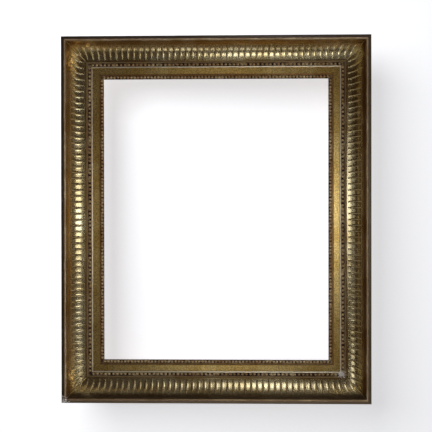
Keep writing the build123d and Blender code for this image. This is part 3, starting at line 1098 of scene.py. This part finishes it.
stageLook = {
    "wallGap": 70.0,
    "wallSize": 6.0,
    "wall": rgb(249, 251, 255),
    "wallShade": rgb(96, 88, 80),  # how the frame's own gilding sees the wall
    "glow": 0.68,
    "room": rgb(236, 237, 238),
    "warmth": rgb(255, 176, 80),  # what the frame itself sees of the room
    "ambient": 0.02,
}


def buildWall():
    bm = bmesh.new()
    turn = Matrix.Rotation(pi / 2, 4, "X")
    move = Matrix.Translation((0, stageLook["wallGap"] * mm, 0))
    bmesh.ops.create_grid(bm, x_segments=1, y_segments=1, size=stageLook["wallSize"] / 2, matrix=move @ turn)
    mesh = bpy.data.meshes.new("wall")
    bm.to_mesh(mesh)
    bm.free()
    wall = bpy.data.objects.new("wall", mesh)
    bpy.context.scene.collection.objects.link(wall)
    material = bpy.data.materials.new("wallPaint")
    material.use_nodes = True
    tree = material.node_tree
    tree.nodes.clear()
    path = addNode(tree, "ShaderNodeLightPath").outputs
    behind = addNode(tree, "ShaderNodeNewGeometry").outputs["Backfacing"]
    seen = mixColour(tree, path["Is Camera Ray"], stageLook["wallShade"], stageLook["wall"])
    paint = addNode(tree, "ShaderNodeBsdfDiffuse", {"Color": seen})
    glow = maths(tree, "MULTIPLY", path["Is Camera Ray"], stageLook["glow"])
    lit = addNode(tree, "ShaderNodeEmission", {"Color": stageLook["wall"], "Strength": glow})
    bright = addNode(tree, "ShaderNodeAddShader", {0: paint.outputs[0], 1: lit.outputs[0]})
    clear = addNode(tree, "ShaderNodeBsdfTransparent")
    factor = maths(tree, "MAXIMUM", path["Is Shadow Ray"], behind)
    mixed = addNode(tree, "ShaderNodeMixShader", {0: factor, 1: bright.outputs[0], 2: clear.outputs[0]})
    addNode(tree, "ShaderNodeOutputMaterial", {"Surface": mixed.outputs[0]})
    mesh.materials.append(material)


def buildRoom():
    world = bpy.data.worlds.new("room")
    bpy.context.scene.world = world
    world.use_nodes = True
    tree = world.node_tree
    tree.nodes.clear()
    faint = {"Color": stageLook["warmth"], "Strength": stageLook["ambient"]}
    dim = addNode(tree, "ShaderNodeBackground", faint)
    seen = addNode(tree, "ShaderNodeBackground", {"Color": stageLook["room"], "Strength": 1.0})
    path = addNode(tree, "ShaderNodeLightPath").outputs["Is Camera Ray"]
    mixed = addNode(tree, "ShaderNodeMixShader", {0: path, 1: dim.outputs[0], 2: seen.outputs[0]})
    addNode(tree, "ShaderNodeOutputWorld", {"Surface": mixed.outputs[0]})


buildWall()
buildRoom()

# Soft boxes on a dome around the frame: degrees off the line that looks straight at it, degrees
# round that line from the right, and power in watts

domeLook = {"distance": 1.5, "size": 0.3}
lights = {
    "nearRight": {"off": 14, "round": 0, "power": 1.56},
    "nearAbove": {"off": 20, "round": 90, "power": 0.34},
    "nearBelow": {"off": 20, "round": 270, "power": 0.5},
    "right": {"off": 52, "round": 0, "power": 0.68},
    "rightFar": {"off": 58, "round": 0, "power": 0.77},
    "rightBelow": {"off": 58, "round": 320, "power": 0.47},
    "rightEdge": {"off": 70, "round": 0, "power": 1.09},
    "rightEdgeBelow": {"off": 70, "round": 320, "power": 0.72},
    "left": {"off": 34, "round": 180, "power": 0.49},
    "leftFar": {"off": 40, "round": 180, "power": 0.36},
    "leftAbove": {"off": 40, "round": 172, "power": 0.3},
    "leftEdge": {"off": 60, "round": 180, "power": 0.15},
    "leftBelow": {"off": 60, "round": 215, "power": 0.58},
    "above": {"off": 50, "round": 82, "power": 0.85},
    "aboveFar": {"off": 62, "round": 82, "power": 0.98},
    "aboveEdge": {"off": 76, "round": 82, "power": 0.37},
    "below": {"off": 50, "round": 278, "power": 1.25},
    "belowEdge": {"off": 84, "round": 278, "power": 0.41},
    "belowEdgeLeft": {"off": 84, "round": 262, "power": 0.68},
    "behind": {"off": 155, "round": 60, "power": 1.0},
}


def addLight(name, look):
    off, around = radians(look["off"]), radians(look["round"])
    away = Vector((sin(off) * cos(around), -cos(off), sin(off) * sin(around)))
    lamp = bpy.data.lights.new(name, "AREA")
    lamp.shape = "SQUARE"
    lamp.size = domeLook["size"]
    lamp.energy = look["power"]
    piece = bpy.data.objects.new(name, lamp)
    piece.location = away * domeLook["distance"]
    piece.rotation_euler = (-away).to_track_quat("-Z", "Y").to_euler()
    bpy.context.scene.collection.objects.link(piece)
    return piece


for name, look in lights.items():
    addLight(name, look)

# Two more light the bare back, and none of the gilding
backLights = {
    "backRight": {"off": 155, "round": 60, "power": 4.5},
    "backLeft": {"off": 150, "round": 205, "power": 3.0},
}

# And one, at the top left, lights the wall alone and throws the frame's soft shadow on it
shadowLook = {"off": 38, "round": 140, "power": 15.0, "size": 1.1}
shadowBox = addLight("shadowBox", shadowLook)
shadowBox.data.size = shadowLook["size"]
wall = bpy.data.objects["wall"]


def lightGroup(name, pieces, state):
    # What a light falls on: these pieces alone, or all but these
    group = bpy.data.collections.new(name)
    for piece in pieces:
        group.objects.link(piece)
    for entry in group.collection_objects:
        entry.light_linking.link_state = state
    return group


shadowBox.light_linking.receiver_collection = lightGroup("wallOnly", [wall], "INCLUDE")
notWall = lightGroup("notWall", [wall], "EXCLUDE")
for name in lights:
    bpy.data.objects[name].light_linking.receiver_collection = notWall
notGilding = lightGroup("notGilding", [wall] + gildedPieces, "EXCLUDE")
for name, look in backLights.items():
    addLight(name, look).light_linking.receiver_collection = notGilding

# Camera at the photograph's angle

cameraLook = {"place": (0.0203, -1.1, 0.0095), "turn": (89.827, 0.069, 1.064), "field": 39.57}
camera = bpy.data.objects.new("camera", bpy.data.cameras.new("camera"))
camera.location = cameraLook["place"]
camera.rotation_euler = [radians(angle) for angle in cameraLook["turn"]]
camera.data.angle = radians(cameraLook["field"])
bpy.context.scene.collection.objects.link(camera)
bpy.context.scene.camera = camera
bpy.context.scene.view_settings.view_transform = "Standard"

print("scene ready")
